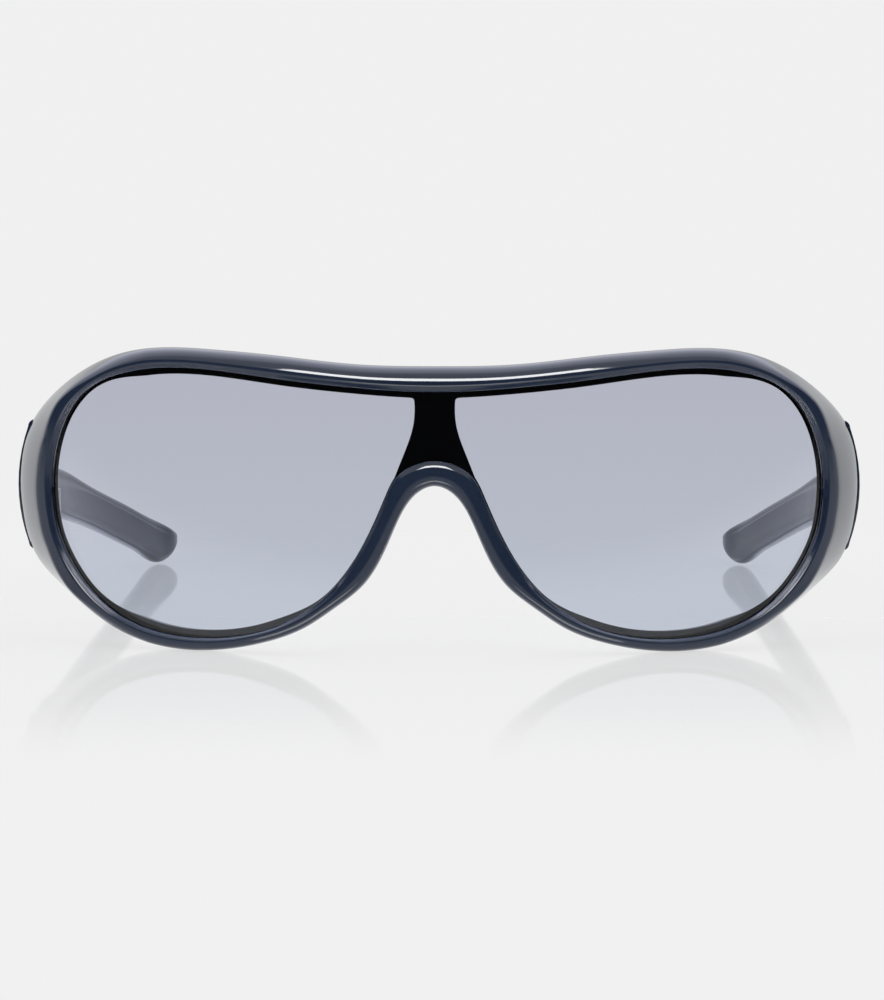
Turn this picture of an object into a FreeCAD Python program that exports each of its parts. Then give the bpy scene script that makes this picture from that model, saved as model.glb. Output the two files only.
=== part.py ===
import FreeCAD, Part
import math
import os
import Sketcher

# Shield sunglasses standing open on their rims and temple tips.
# X points to the right of the front, the front faces -Y, Z points up, lengths are millimetres.
# The origin lies on the ground in the middle of the object's outline seen from above.

V = FreeCAD.Vector
doc = FreeCAD.newDocument("shield_sunglasses")
sheet = doc.addObject("Spreadsheet::Sheet", "Sizes")

# Driving dimensions
driving_dimensions = [
    ("front_width", "148.0"),
    ("front_height", "51.7"),
    ("wrap_radius", "125.0"),
    ("rim_depth", "5.2"),
    ("lip_depth", "1.0"),
    ("lip_land", "0.4"),
    ("bend_reach", "2.1"),
    ("seam_setback", "36.0"),
    ("seam_overrun", "1.5"),
    ("seam_gap", "0.3"),
    ("lens_thickness", "2.0"),
    ("seat_lap", "1.2"),
    ("seat_edge_clearance", "0.1"),
    ("seat_face_clearance", "0.05"),
    ("carrier_thickness", "1.0"),
    ("carrier_top_border", "1.2"),
    ("carrier_low_border", "0.8"),
    ("carrier_nose_border", "0.25"),
    ("temple_length", "114.4"),
    ("temple_thickness", "4.7"),
    ("temple_crown_radius", "30.0"),
    ("core_width", "1.2"),
    ("core_height", "2.4"),
    ("core_offset", "0.4"),
    ("core_clearance", "0.05"),
    ("hinge_inset", "6.8"),
    ("hinge_level_share", "0.42"),
    ("knuckle_height", "2.2"),
    ("knuckle_gap", "0.1"),
    ("knuckle_radius", "1.5"),
    ("knuckle_relief", "0.25"),
    ("leaf_standoff", "1.8"),
    ("leaf_thickness", "1.2"),
    ("leaf_length", "6.6"),
    ("leaf_clearance", "0.05"),
    ("leaf_setback", "0.35"),
    ("pin_radius", "0.7"),
    ("pin_fit", "0.01"),
    ("pin_running_fit", "0.05"),
    ("pin_head_radius", "1.1"),
    ("pin_head_height", "0.6"),
    ("rivet_radius", "0.6"),
    ("rivet_length", "2.2"),
    ("rivet_reach", "4.6"),
    ("rivet_fit", "0.02"),
]
# Sizes that follow from the driving ones
derived_dimensions = [
    ("overall_depth", "=seam_setback + seam_gap + temple_length"),
    ("front_line", "=0 - overall_depth / 2"),
    ("seam_y", "=front_line + seam_setback"),
    ("butt_y", "=seam_y + seam_gap"),
    ("hinge_x", "=front_width / 2 - hinge_inset"),
    ("hinge_y", "=seam_y + seam_gap / 2"),
    ("hinge_level", "=front_height * hinge_level_share"),
    ("hinge_height", "=3 * knuckle_height + 2 * knuckle_gap"),
    ("knuckle_pitch", "=knuckle_height + knuckle_gap"),
    ("knuckle_slot", "=knuckle_height + 2 * knuckle_gap"),
    ("knuckle_room", "=knuckle_radius + knuckle_relief"),
    ("leaf_back", "=leaf_standoff + leaf_thickness"),
    ("leaf_x", "=leaf_standoff + leaf_thickness / 2"),
    ("leaf_y", "=leaf_setback + leaf_length / 2"),
    ("neck_width", "=knuckle_radius - leaf_setback"),
    ("neck_y", "=(knuckle_radius + leaf_setback) / 2"),
]
for row_number, (alias_name, value_text) in enumerate(driving_dimensions + derived_dimensions, start=1):
    sheet.set("A%d" % row_number, alias_name)
    sheet.set("B%d" % row_number, value_text)
    sheet.setAlias("B%d" % row_number, alias_name)
doc.recompute()


def size(alias_name):
    return float(getattr(sheet, alias_name))


half_width = size("front_width") / 2
front_height = size("front_height")
wrap_radius = size("wrap_radius")
front_line = size("front_line")

# Stations round the right half of the front, from the brow centre over the end piece to the nose arch.
# Window edge across and up, outer edge across and up, as shares of half the width and of the height,
# then how far the back runs from the rim to the seam, and where the inner back edge lies.
front_station_shares = [
    (0.000, 0.872, 0.000, 0.952, 0.00, 1.00),
    (0.177, 0.884, 0.180, 0.957, 0.00, 1.00),
    (0.361, 0.909, 0.355, 0.981, 0.00, 1.00),
    (0.522, 0.935, 0.518, 0.998, 0.00, 1.00),
    (0.724, 0.915, 0.743, 0.969, 0.05, 1.00),
    (0.796, 0.866, 0.838, 0.899, 0.21, 0.90),
    (0.850, 0.789, 0.919, 0.801, 0.51, 0.76),
    (0.882, 0.694, 0.976, 0.696, 1.00, 0.66),
    (0.899, 0.561, 0.999, 0.553, 1.00, 0.62),
    (0.895, 0.445, 0.996, 0.418, 1.00, 0.62),
    (0.877, 0.346, 0.968, 0.269, 1.00, 0.66),
    (0.835, 0.242, 0.896, 0.178, 0.51, 0.76),
    (0.713, 0.099, 0.730, 0.045, 0.03, 1.00),
    (0.550, 0.055, 0.549, 0.000, 0.00, 1.00),
    (0.390, 0.090, 0.377, 0.041, 0.00, 1.00),
    (0.319, 0.133, 0.299, 0.086, 0.00, 1.00),
    (0.256, 0.194, 0.231, 0.157, 0.00, 1.00),
    (0.206, 0.273, 0.169, 0.234, 0.00, 1.00),
    (0.112, 0.528, 0.072, 0.495, 0.00, 1.00),
    (0.084, 0.598, 0.047, 0.536, 0.00, 1.00),
    (0.000, 0.646, 0.000, 0.565, 0.00, 1.00),
]
bead_share = 0.40
crest_share = 0.28
roll_share = 0.6
roll_faces = 3
shared_station_count = 2

# The right eye opening of the carrier follows the window over these stations, then the bridge panel
eye_first_station = 1
eye_low_station = 13
eye_last_station = 18
panel_side_shares = [
    (0.087, 0.620), (0.062, 0.715), (0.051, 0.795), (0.051, 0.836), (0.059, 0.852), (0.085, 0.857),
]

# Stations along the right temple: distance from the butt as a share of its length, outer face across as a
# share of half the width, middle level and height as shares of the front height, thickness as a share of
# the butt thickness, the height of the bevels as a share of the thickness, and where the crease on the
# inner face lies above the middle as a share of half the height.
temple_station_shares = [
    (0.000, 0.994, 0.492, 0.450, 1.00, 0.62, 0.10),
    (0.058, 0.994, 0.482, 0.349, 1.00, 0.56, 0.10),
    (0.119, 0.993, 0.466, 0.265, 0.98, 0.50, 0.10),
    (0.189, 0.990, 0.445, 0.205, 0.96, 0.46, 0.12),
    (0.381, 0.965, 0.380, 0.171, 0.92, 0.42, 0.26),
    (0.512, 0.935, 0.318, 0.152, 0.88, 0.42, 0.45),
    (0.774, 0.851, 0.175, 0.135, 0.81, 0.44, 0.46),
    (0.861, 0.819, 0.119, 0.136, 0.80, 0.46, 0.46),
    (0.921, 0.794, 0.087, 0.135, 0.79, 0.48, 0.44),
    (0.968, 0.771, 0.066, 0.121, 0.75, 0.46, 0.44),
    (1.000, 0.753, 0.071, 0.066, 0.54, 0.34, 0.40),
]
bevel_share = 0.28
core_station_count = 7

# Smooth outlines are kept in stretches of a few points each
points_per_stretch = 5


# Forms from curves
def shaped(name, shape):
    feature = doc.addObject("Part::Feature", name)
    feature.Shape = shape
    feature.Placement = FreeCAD.Placement()
    return feature


def bezier(poles):
    curve = Part.BezierCurve()
    curve.setPoles(poles)
    return curve


def closed_wire(points):
    # a smooth closed outline through the points
    marks = [0.0]
    for start, end in zip(points, points[1:] + points[:1]):
        marks.append(marks[-1] + (end - start).Length)
    curve = Part.BSplineCurve()
    curve.interpolate(Points=points, PeriodicFlag=True, Parameters=marks)
    stops = marks[:-1:points_per_stretch] + marks[-1:]
    return Part.Wire([curve.toShape(start, end) for start, end in zip(stops[:-1], stops[1:])])


# Forms with sizes bound to the sheet
def block(name, length, width, height, x, y, z):
    # a box with its middle at the given place
    feature = doc.addObject("Part::Box", name)
    feature.setExpression("Length", length)
    feature.setExpression("Width", width)
    feature.setExpression("Height", height)
    feature.setExpression("Placement.Base.x", "%s - (%s) / 2" % (x, length))
    feature.setExpression("Placement.Base.y", "%s - (%s) / 2" % (y, width))
    feature.setExpression("Placement.Base.z", "%s - (%s) / 2" % (z, height))
    return feature


def cross_bar(name, radius, length, x, y, z):
    # a round bar that runs along +X from the given place
    feature = doc.addObject("Part::Cylinder", name)
    feature.Placement = FreeCAD.Placement(V(0, 0, 0), FreeCAD.Rotation(V(0, 1, 0), 90))
    feature.setExpression("Radius", radius)
    feature.setExpression("Height", length)
    feature.setExpression("Placement.Base.x", x)
    feature.setExpression("Placement.Base.y", y)
    feature.setExpression("Placement.Base.z", z)
    return feature


def mirrored(name, source):
    # the same piece for the left side
    feature = doc.addObject("Part::Mirroring", name)
    feature.Source = source
    feature.Base = V(0, 0, 0)
    feature.Normal = V(1, 0, 0)
    return feature


def cut_away(name, base, tool):
    feature = doc.addObject("Part::Cut", name)
    feature.Base = base
    feature.Tool = tool
    return feature


def gathered(kind, name, pieces):
    # several forms fused, or what they have in common
    feature = doc.addObject(kind, name)
    feature.Shapes = pieces
    return feature


# Sketches lie on a body's own origin planes, and lines have a draft size until their expressions hold
draft = 1.0


def sketch_on(body, name, role, across, up):
    sketch = body.newObject("Sketcher::SketchObject", name)
    plane = [feature for feature in body.Origin.OriginFeatures if feature.Role == role][0]
    sketch.AttachmentSupport = [(plane, "")]
    sketch.MapMode = "FlatFace"
    sketch.setExpression("AttachmentOffset.Base.x", across)
    sketch.setExpression("AttachmentOffset.Base.y", up)
    return sketch


def closed_lines(sketch, corners):
    # a closed outline of lines that lie across and up in turn
    count = len(corners)
    for number in range(count):
        sketch.addGeometry(Part.LineSegment(corners[number], corners[(number + 1) % count]))
    for number in range(count):
        sketch.addConstraint(Sketcher.Constraint("Coincident", number, 2, (number + 1) % count, 1))
        sketch.addConstraint(Sketcher.Constraint("Vertical" if number % 2 else "Horizontal", number))


def dimension(sketch, kind, first, second, expression):
    # a distance from one line end to another, each given as line number and end
    number = sketch.addConstraint(Sketcher.Constraint(kind, *first, *second, draft))
    sketch.setExpression("Constraints[%d]" % number, expression)


def rectangle(sketch, width, height):
    closed_lines(sketch, [
        V(-draft, -draft, 0), V(draft, -draft, 0), V(draft, draft, 0), V(-draft, draft, 0),
    ])
    sketch.addConstraint(Sketcher.Constraint("Symmetric", 0, 1, 2, 1, -1, 1))
    dimension(sketch, "DistanceX", (0, 1), (0, 2), width)
    dimension(sketch, "DistanceY", (1, 1), (1, 2), height)


def circle(sketch, radius):
    sketch.addGeometry(Part.Circle(V(0, 0, 0), V(0, 0, 1), draft))
    sketch.addConstraint(Sketcher.Constraint("Coincident", 0, 3, -1, 1))
    number = sketch.addConstraint(Sketcher.Constraint("Radius", 0, draft))
    sketch.setExpression("Constraints[%d]" % number, radius)


def pad(body, sketch, length):
    feature = body.newObject("PartDesign::Pad", sketch.Name + "_pad")
    feature.Profile = sketch
    feature.SideType = "Symmetric"
    feature.setExpression("Length", length)


def pocket_through(body, sketch):
    feature = body.newObject("PartDesign::Pocket", sketch.Name + "_cut")
    feature.Profile = sketch
    feature.SideType = "Symmetric"
    feature.Type = "ThroughAll"


# Front
def wrap_point(across, up):
    # the foremost surface of the front is a cylinder standing upright behind it
    return V(across, front_line + wrap_radius - math.sqrt(wrap_radius ** 2 - across ** 2), up)


def wrap_inward(across):
    return V(-across / wrap_radius, math.sqrt(wrap_radius ** 2 - across ** 2) / wrap_radius, 0)


def mirror_row(row):
    return (-row[0], row[1], -row[2]) + row[3:]


def front_section(row):
    # lens lip, crest, outer face rolled back in facets, flat back and inner wall of the front at one station
    window = wrap_point(row[0] * half_width, row[1] * front_height)
    outer = wrap_point(row[2] * half_width, row[3] * front_height)
    lip = window + wrap_inward(window.x) * size("lip_depth")
    rim_back = outer.y + size("rim_depth")
    seam_back = size("seam_y") + size("seam_overrun")
    back = V(outer.x, rim_back + (seam_back - rim_back) * row[4], outer.z)
    inner = outer + (window - outer) * row[5]
    # the rim keeps the width of a bead where the back runs on to the seam
    bead = outer + (window - outer) * (bead_share * row[4])
    crest = window + (bead - window) * crest_share
    roll = bezier([
        crest,
        crest + (bead - crest) * roll_share,
        bead + (back - bead).normalize() * size("bend_reach"),
        back,
    ])
    corners = [lip] + [roll.value(step / roll_faces) for step in range(roll_faces + 1)]
    corners.append(V(inner.x, back.y, inner.z))
    return Part.makePolygon(corners + corners[:1])


# The right half runs a little past the middle at both ends, so that it is square to the middle when trimmed
right_rows = front_station_shares
past_brow = [mirror_row(row) for row in right_rows[shared_station_count:0:-1]]
past_nose = [mirror_row(row) for row in right_rows[-2:-2 - shared_station_count:-1]]
half_sections = [front_section(row) for row in past_brow + right_rows + past_nose]
half_blank = shaped("half_blank", Part.makeLoft(half_sections, True))


# Plates that follow the wrap
def edge_outline(lap, depth):
    # the window edge moved outwards under the rim by the lap, taken square to the wrap down to the depth
    left_rows = [mirror_row(row) for row in right_rows[-2:0:-1]]
    from_left = len(left_rows) // 2
    narrowing = (wrap_radius - depth) / wrap_radius
    outline = []
    for row in left_rows[from_left:] + right_rows + left_rows[:from_left]:
        window = V(row[0] * half_width, 0, row[1] * front_height)
        outer = V(row[2] * half_width, 0, row[3] * front_height)
        point = window + (outer - window).normalize() * lap
        outline.append(V(point.x * narrowing, front_line, point.z))
    return outline


def border_at(station):
    # the carrier's border narrows from the brow to the lowest station, and from there up the nose
    if station < eye_low_station:
        share = (station - eye_first_station) / (eye_low_station - eye_first_station)
        return size("carrier_top_border") * (1 - share) + size("carrier_low_border") * share
    share = (station - eye_low_station) / (eye_last_station - eye_low_station)
    return size("carrier_low_border") * (1 - share) + size("carrier_nose_border") * share


def eye_outline(side):
    outline = []
    for station in range(eye_first_station, eye_last_station + 1):
        row = right_rows[station]
        window = V(row[0] * half_width, front_line, row[1] * front_height)
        outer = V(row[2] * half_width, front_line, row[3] * front_height)
        outline.append(window + (window - outer).normalize() * border_at(station))
    outline += [V(x * half_width, front_line, z * front_height) for x, z in panel_side_shares]
    return [V(side * point.x, point.y, point.z) for point in outline]


def shell_plate(outline, openings, depth, thickness):
    # trimmed on a cylinder at the depth, then thickened square to it
    reach = V(0, size("seam_setback"), 0)
    prism = Part.Face(closed_wire(outline)).extrude(reach)
    for opening in openings:
        prism = prism.cut(Part.Face(closed_wire(opening)).extrude(reach))
    axis_foot = V(0, front_line + wrap_radius, 0)
    drum = Part.makeCylinder(wrap_radius - depth, front_height, axis_foot, V(0, 0, 1))
    side = [face for face in drum.Faces if face.Surface.TypeId == "Part::GeomCylinder"][0]
    skin = side.common(prism).Faces[0]
    return skin.makeOffsetShape(-thickness, size("seat_face_clearance"), fill=True)


seat_depth = size("lip_depth") + size("lip_land")
lens_depth = seat_depth + size("seat_face_clearance")
carrier_depth = lens_depth + size("lens_thickness") + size("seat_face_clearance")
seat_lap = size("seat_lap")
insert_lap = seat_lap - size("seat_edge_clearance")
seat_outline = edge_outline(seat_lap, seat_depth)
lens_seat = shaped("lens_seat", shell_plate(seat_outline, [], seat_depth, size("seam_setback") / 2))
lens_outline = edge_outline(insert_lap, lens_depth)
shield_lens = shaped("shield_lens", shell_plate(lens_outline, [], lens_depth, size("lens_thickness")))
carrier_outline = edge_outline(insert_lap, carrier_depth)
eyes = [eye_outline(1), eye_outline(-1)]
carrier_plate = shell_plate(carrier_outline, eyes, carrier_depth, size("carrier_thickness"))
lens_carrier = shaped("lens_carrier", carrier_plate)

# Room for the right hinge, half in the front and half in the temple
leaf_pocket = block(
    "leaf_pocket",
    "Sizes.knuckle_room + Sizes.leaf_back + Sizes.leaf_clearance",
    "2 * (Sizes.leaf_setback + Sizes.leaf_length + Sizes.leaf_clearance)",
    "Sizes.hinge_height + 2 * Sizes.leaf_clearance",
    "Sizes.hinge_x + (Sizes.leaf_back + Sizes.leaf_clearance - Sizes.knuckle_room) / 2",
    "Sizes.hinge_y",
    "Sizes.hinge_level",
)
knuckle_pocket = block(
    "knuckle_pocket",
    "2 * Sizes.knuckle_room",
    "2 * Sizes.knuckle_room",
    "Sizes.hinge_height + 2 * (Sizes.pin_head_height + Sizes.knuckle_relief)",
    "Sizes.hinge_x",
    "Sizes.hinge_y",
    "Sizes.hinge_level",
)


def rivet(name, sign, radius_fit, end_room):
    # a plain rivet or its bore, flush with the inner face of a leaf and square to it
    reach = "Sizes.hinge_y %s Sizes.rivet_reach" % sign
    return cross_bar(
        name, "Sizes.rivet_radius" + radius_fit, "Sizes.rivet_length" + end_room,
        "Sizes.hinge_x + Sizes.leaf_standoff", reach, "Sizes.hinge_level",
    )


front_bore = rivet("front_bore", "-", " + Sizes.rivet_fit", " + Sizes.leaf_clearance")
temple_bore = rivet("temple_bore", "+", " + Sizes.rivet_fit", " + Sizes.leaf_clearance")

# The front's right half is trimmed and cut, then joined to its mirror image
seam_trim = block(
    "seam_trim", "2 * Sizes.front_width", "Sizes.seam_setback", "3 * Sizes.front_height",
    "0", "Sizes.seam_y + Sizes.seam_setback / 2", "Sizes.front_height / 2",
)
middle_trim = block(
    "middle_trim", "Sizes.front_width", "2 * Sizes.front_width", "3 * Sizes.front_height",
    "-Sizes.front_width / 2", "0", "Sizes.front_height / 2",
)
front_half = half_blank
front_tools = [middle_trim, seam_trim, lens_seat, leaf_pocket, knuckle_pocket, front_bore]
for number, tool in enumerate(front_tools):
    front_half = cut_away("front_half_%d" % number, front_half, tool)
front_left = mirrored("front_left", front_half)
front_frame = gathered("Part::MultiFuse", "front_frame", [front_half, front_left])


# Temples
def temple_centre(row):
    outer_x = row[1] * half_width
    thickness = row[4] * size("temple_thickness")
    along = row[0] * size("temple_length")
    return V(outer_x - thickness / 2, size("butt_y") + along, row[2] * front_height)


def temple_section(row):
    # a band with a crowned outer face, a flat inner face and bevelled edges
    centre = temple_centre(row)
    thickness = row[4] * size("temple_thickness")
    half_height = row[3] * front_height / 2
    face_height = half_height - row[5] * thickness
    crown = face_height ** 2 / (2 * size("temple_crown_radius"))
    outer_x = thickness / 2 - crown
    inner_x = -thickness / 2
    bevel = (outer_x - inner_x) * bevel_share
    outer_low = centre + V(outer_x, 0, -face_height)
    outer_high = centre + V(outer_x, 0, face_height)
    crowned = bezier([outer_low, centre + V(outer_x + 2 * crown, 0, 0), outer_high])
    bevelled = Part.makePolygon([
        outer_high,
        centre + V(outer_x - bevel, 0, half_height),
        centre + V(inner_x + bevel, 0, half_height),
        centre + V(inner_x, 0, half_height * row[6]),
        centre + V(inner_x, 0, -face_height),
        centre + V(inner_x + bevel, 0, -half_height),
        centre + V(outer_x - bevel, 0, -half_height),
        outer_low,
    ])
    return Part.Wire([crowned.toShape()] + bevelled.Edges)


def core_section(row, clearance, shift):
    # the stiffening strip, or the channel round it
    half_core_width = size("core_width") / 2 + clearance
    half_core_height = size("core_height") / 2 + clearance
    middle = temple_centre(row) + V(size("core_offset"), shift, 0)
    corners = [
        middle + V(-half_core_width, 0, -half_core_height),
        middle + V(half_core_width, 0, -half_core_height),
        middle + V(half_core_width, 0, half_core_height),
        middle + V(-half_core_width, 0, half_core_height),
    ]
    return Part.makePolygon(corners + corners[:1])


core_rows = temple_station_shares[:core_station_count]
core_clearance = size("core_clearance")
channel_shifts = [-core_clearance] + [0.0] * (core_station_count - 2) + [core_clearance]
core_wires = [core_section(row, 0, 0) for row in core_rows]
channel_wires = [core_section(row, core_clearance, shift) for row, shift in zip(core_rows, channel_shifts)]
temple_wires = [temple_section(row) for row in temple_station_shares]
temple_core_right = shaped("temple_core_right", Part.makeLoft(core_wires, True))
temple_core_left = mirrored("temple_core_left", temple_core_right)
core_channel = shaped("core_channel", Part.makeLoft(channel_wires, True))
temple_blank = shaped("temple_blank", Part.makeLoft(temple_wires, True))
temple_tools = gathered(
    "Part::MultiFuse", "temple_tools", [core_channel, leaf_pocket, knuckle_pocket, temple_bore],
)
temple_right = cut_away("temple_right", temple_blank, temple_tools)
temple_left = mirrored("temple_left", temple_right)


# Hinges
def hinge_leaf(name, sign, slot_steps, bore_fit):
    # a let-in plate with knuckles round the hinge axis, drawn with the axis as its own Z
    body = doc.addObject("PartDesign::Body", name)
    plate = sketch_on(body, name + "_plate", "XY_Plane", "Sizes.leaf_x", sign + "Sizes.leaf_y")
    rectangle(plate, "Sizes.leaf_thickness", "Sizes.leaf_length")
    pad(body, plate, "Sizes.hinge_height")
    neck = sketch_on(body, name + "_neck", "XY_Plane", "Sizes.leaf_back / 2", sign + "Sizes.neck_y")
    rectangle(neck, "Sizes.leaf_back", "Sizes.neck_width")
    pad(body, neck, "Sizes.hinge_height")
    barrel = sketch_on(body, name + "_barrel", "XY_Plane", "0", "0")
    circle(barrel, "Sizes.knuckle_radius")
    pad(body, barrel, "Sizes.hinge_height")
    for number, step in enumerate(slot_steps):
        level = "%d * Sizes.knuckle_pitch" % step
        slot = sketch_on(body, "%s_slot_%d" % (name, number), "XZ_Plane", "0", level)
        rectangle(slot, "2 * Sizes.knuckle_room", "Sizes.knuckle_slot")
        pocket_through(body, slot)
    bore = sketch_on(body, name + "_bore", "XY_Plane", "0", "0")
    circle(bore, "Sizes.pin_radius + " + bore_fit)
    pocket_through(body, bore)
    hole = sketch_on(body, name + "_hole", "YZ_Plane", sign + "Sizes.rivet_reach", "0")
    circle(hole, "Sizes.rivet_radius + Sizes.rivet_fit")
    pocket_through(body, hole)
    body.setExpression("Placement.Base.x", "Sizes.hinge_x")
    body.setExpression("Placement.Base.y", "Sizes.hinge_y")
    body.setExpression("Placement.Base.z", "Sizes.hinge_level")
    return body


def hinge_screw(name):
    # turned round its own Z, with the shank from the foot of the lowest knuckle up to the head
    body = doc.addObject("PartDesign::Body", name)
    profile = sketch_on(body, name + "_profile", "XZ_Plane", "0", "0")
    steps = [(0, 0), (1, 0), (1, 2), (2, 2), (2, 3), (0, 3)]
    closed_lines(profile, [V(across * draft, up * draft, 0) for across, up in steps])
    profile.addConstraint(Sketcher.Constraint("Coincident", 0, 1, -1, 1))
    dimension(profile, "DistanceX", (0, 1), (0, 2), "Sizes.pin_radius")
    dimension(profile, "DistanceY", (1, 1), (1, 2), "Sizes.hinge_height")
    dimension(profile, "DistanceX", (4, 2), (4, 1), "Sizes.pin_head_radius")
    dimension(profile, "DistanceY", (3, 1), (3, 2), "Sizes.pin_head_height")
    turned = body.newObject("PartDesign::Revolution", name + "_turned")
    turned.Profile = profile
    turned.ReferenceAxis = (profile, ["V_Axis"])
    turned.Angle = 360
    body.setExpression("Placement.Base.x", "Sizes.hinge_x")
    body.setExpression("Placement.Base.y", "Sizes.hinge_y")
    body.setExpression("Placement.Base.z", "Sizes.hinge_level - Sizes.hinge_height / 2")
    return body


front_leaf_right = hinge_leaf("front_leaf_right", "-", [0], "Sizes.pin_fit")
front_leaf_left = mirrored("front_leaf_left", front_leaf_right)
temple_leaf_right = hinge_leaf("temple_leaf_right", "", [-1, 1], "Sizes.pin_running_fit")
temple_leaf_left = mirrored("temple_leaf_left", temple_leaf_right)
hinge_screw_right = hinge_screw("hinge_screw_right")
hinge_screw_left = mirrored("hinge_screw_left", hinge_screw_right)
front_rivet_right = rivet("front_rivet_right", "-", "", "")
front_rivet_left = mirrored("front_rivet_left", front_rivet_right)
front_leaf_rivets = doc.addObject("Part::Compound", "front_leaf_rivets")
front_leaf_rivets.Links = [front_rivet_right, front_rivet_left]
temple_leaf_rivet_right = rivet("temple_leaf_rivet_right", "+", "", "")
temple_leaf_rivet_left = mirrored("temple_leaf_rivet_left", temple_leaf_rivet_right)
doc.recompute()

# Check every object, then write one file for each sub-part
sub_parts = [
    front_frame, shield_lens, lens_carrier,
    front_leaf_right, front_leaf_left, front_leaf_rivets, hinge_screw_right, hinge_screw_left,
    temple_right, temple_left, temple_core_right, temple_core_left,
    temple_leaf_right, temple_leaf_left, temple_leaf_rivet_right, temple_leaf_rivet_left,
]
for feature in doc.Objects:
    if "Invalid" in feature.State or "Error" in feature.State:
        raise RuntimeError("%s did not build: %s" % (feature.Label, feature.State))
os.makedirs("parts", exist_ok=True)
for feature in sub_parts:
    if feature.Shape.isNull() or not feature.Shape.isValid():
        raise RuntimeError("%s has no valid shape" % feature.Label)
    print("%-26s solids %d volume %9.2f" % (feature.Label, len(feature.Shape.Solids), feature.Shape.Volume))
    feature.Shape.exportStep("parts/%s.step" % feature.Label)
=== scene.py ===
import math

import bmesh
import bpy
import numpy as np
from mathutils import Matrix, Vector
from mathutils.geometry import delaunay_2d_cdt


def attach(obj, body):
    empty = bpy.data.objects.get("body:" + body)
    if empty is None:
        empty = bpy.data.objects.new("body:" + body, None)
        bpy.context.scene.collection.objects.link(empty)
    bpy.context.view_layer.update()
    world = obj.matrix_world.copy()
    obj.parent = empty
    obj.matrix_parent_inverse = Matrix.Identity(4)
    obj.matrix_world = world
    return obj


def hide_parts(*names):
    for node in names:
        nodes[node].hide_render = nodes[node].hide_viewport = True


# Shield sunglasses. Lengths are millimetres until a mesh is made, then metres.
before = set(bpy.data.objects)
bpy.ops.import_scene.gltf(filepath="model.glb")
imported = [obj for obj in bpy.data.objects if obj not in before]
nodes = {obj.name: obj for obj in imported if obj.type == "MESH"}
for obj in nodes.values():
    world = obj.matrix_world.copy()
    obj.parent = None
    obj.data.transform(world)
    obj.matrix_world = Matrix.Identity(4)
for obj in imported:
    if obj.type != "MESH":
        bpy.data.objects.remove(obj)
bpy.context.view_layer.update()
MM = 0.001

# Sizes that the solids have too
HALF_WIDTH = 74.0
FRONT_HEIGHT = 51.7
WRAP_RADIUS = 125.0
FRONT_LINE = -75.35
RIM_DEPTH = 5.2
LIP_DEPTH = 1.0
SEAT_DEPTH = 1.4
SEAT_LAP = 1.2
SEAM_Y = -39.35
SEAM_OVERRUN = 1.5
LENS_DEPTH = 1.45
LENS_THICKNESS = 2.0
LENS_LAP = 1.1
CARRIER_DEPTH = 3.5
CARRIER_THICKNESS = 1.0
BUTT_Y = -39.05
TEMPLE_LENGTH = 114.4
TEMPLE_THICKNESS = 4.7
HINGE = np.array([67.2, -39.2, 21.714])
HINGE_HEIGHT = 6.8
LEAF_REACH = 7.0
LEAF_BACK = 3.05
LEAF_CLEARANCE = 0.05
KNUCKLE_ROOM = 1.75
PIN_RADIUS = 0.7
PIN_HEAD_RADIUS = 1.1
PIN_HEAD_HEIGHT = 0.6
PIN_HEAD_ROOM = 0.85

# How far a mesh stays inside its solid
FRONT_SKIN = 0.003
TEMPLE_SKIN = 0.03

# Window edge and outer edge across and up, run of the back to the seam, inner back edge
FRONT_STATION_SHARES = np.array([
    (0.000, 0.872, 0.000, 0.952, 0.00, 1.00),
    (0.177, 0.884, 0.180, 0.957, 0.00, 1.00),
    (0.361, 0.909, 0.355, 0.981, 0.00, 1.00),
    (0.522, 0.935, 0.518, 0.998, 0.00, 1.00),
    (0.724, 0.915, 0.743, 0.969, 0.05, 1.00),
    (0.796, 0.866, 0.838, 0.899, 0.21, 0.90),
    (0.850, 0.789, 0.919, 0.801, 0.51, 0.76),
    (0.882, 0.694, 0.976, 0.696, 1.00, 0.66),
    (0.899, 0.561, 0.999, 0.553, 1.00, 0.62),
    (0.895, 0.445, 0.996, 0.418, 1.00, 0.62),
    (0.877, 0.346, 0.968, 0.269, 1.00, 0.66),
    (0.835, 0.242, 0.896, 0.178, 0.51, 0.76),
    (0.713, 0.099, 0.730, 0.045, 0.03, 1.00),
    (0.550, 0.055, 0.549, 0.000, 0.00, 1.00),
    (0.390, 0.090, 0.377, 0.041, 0.00, 1.00),
    (0.319, 0.133, 0.299, 0.086, 0.00, 1.00),
    (0.256, 0.194, 0.227, 0.156, 0.00, 1.00),
    (0.206, 0.273, 0.163, 0.232, 0.00, 1.00),
    (0.112, 0.528, 0.067, 0.490, 0.00, 1.00),
    (0.084, 0.598, 0.044, 0.531, 0.00, 1.00),
    (0.000, 0.646, 0.000, 0.560, 0.00, 1.00),
])

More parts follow.
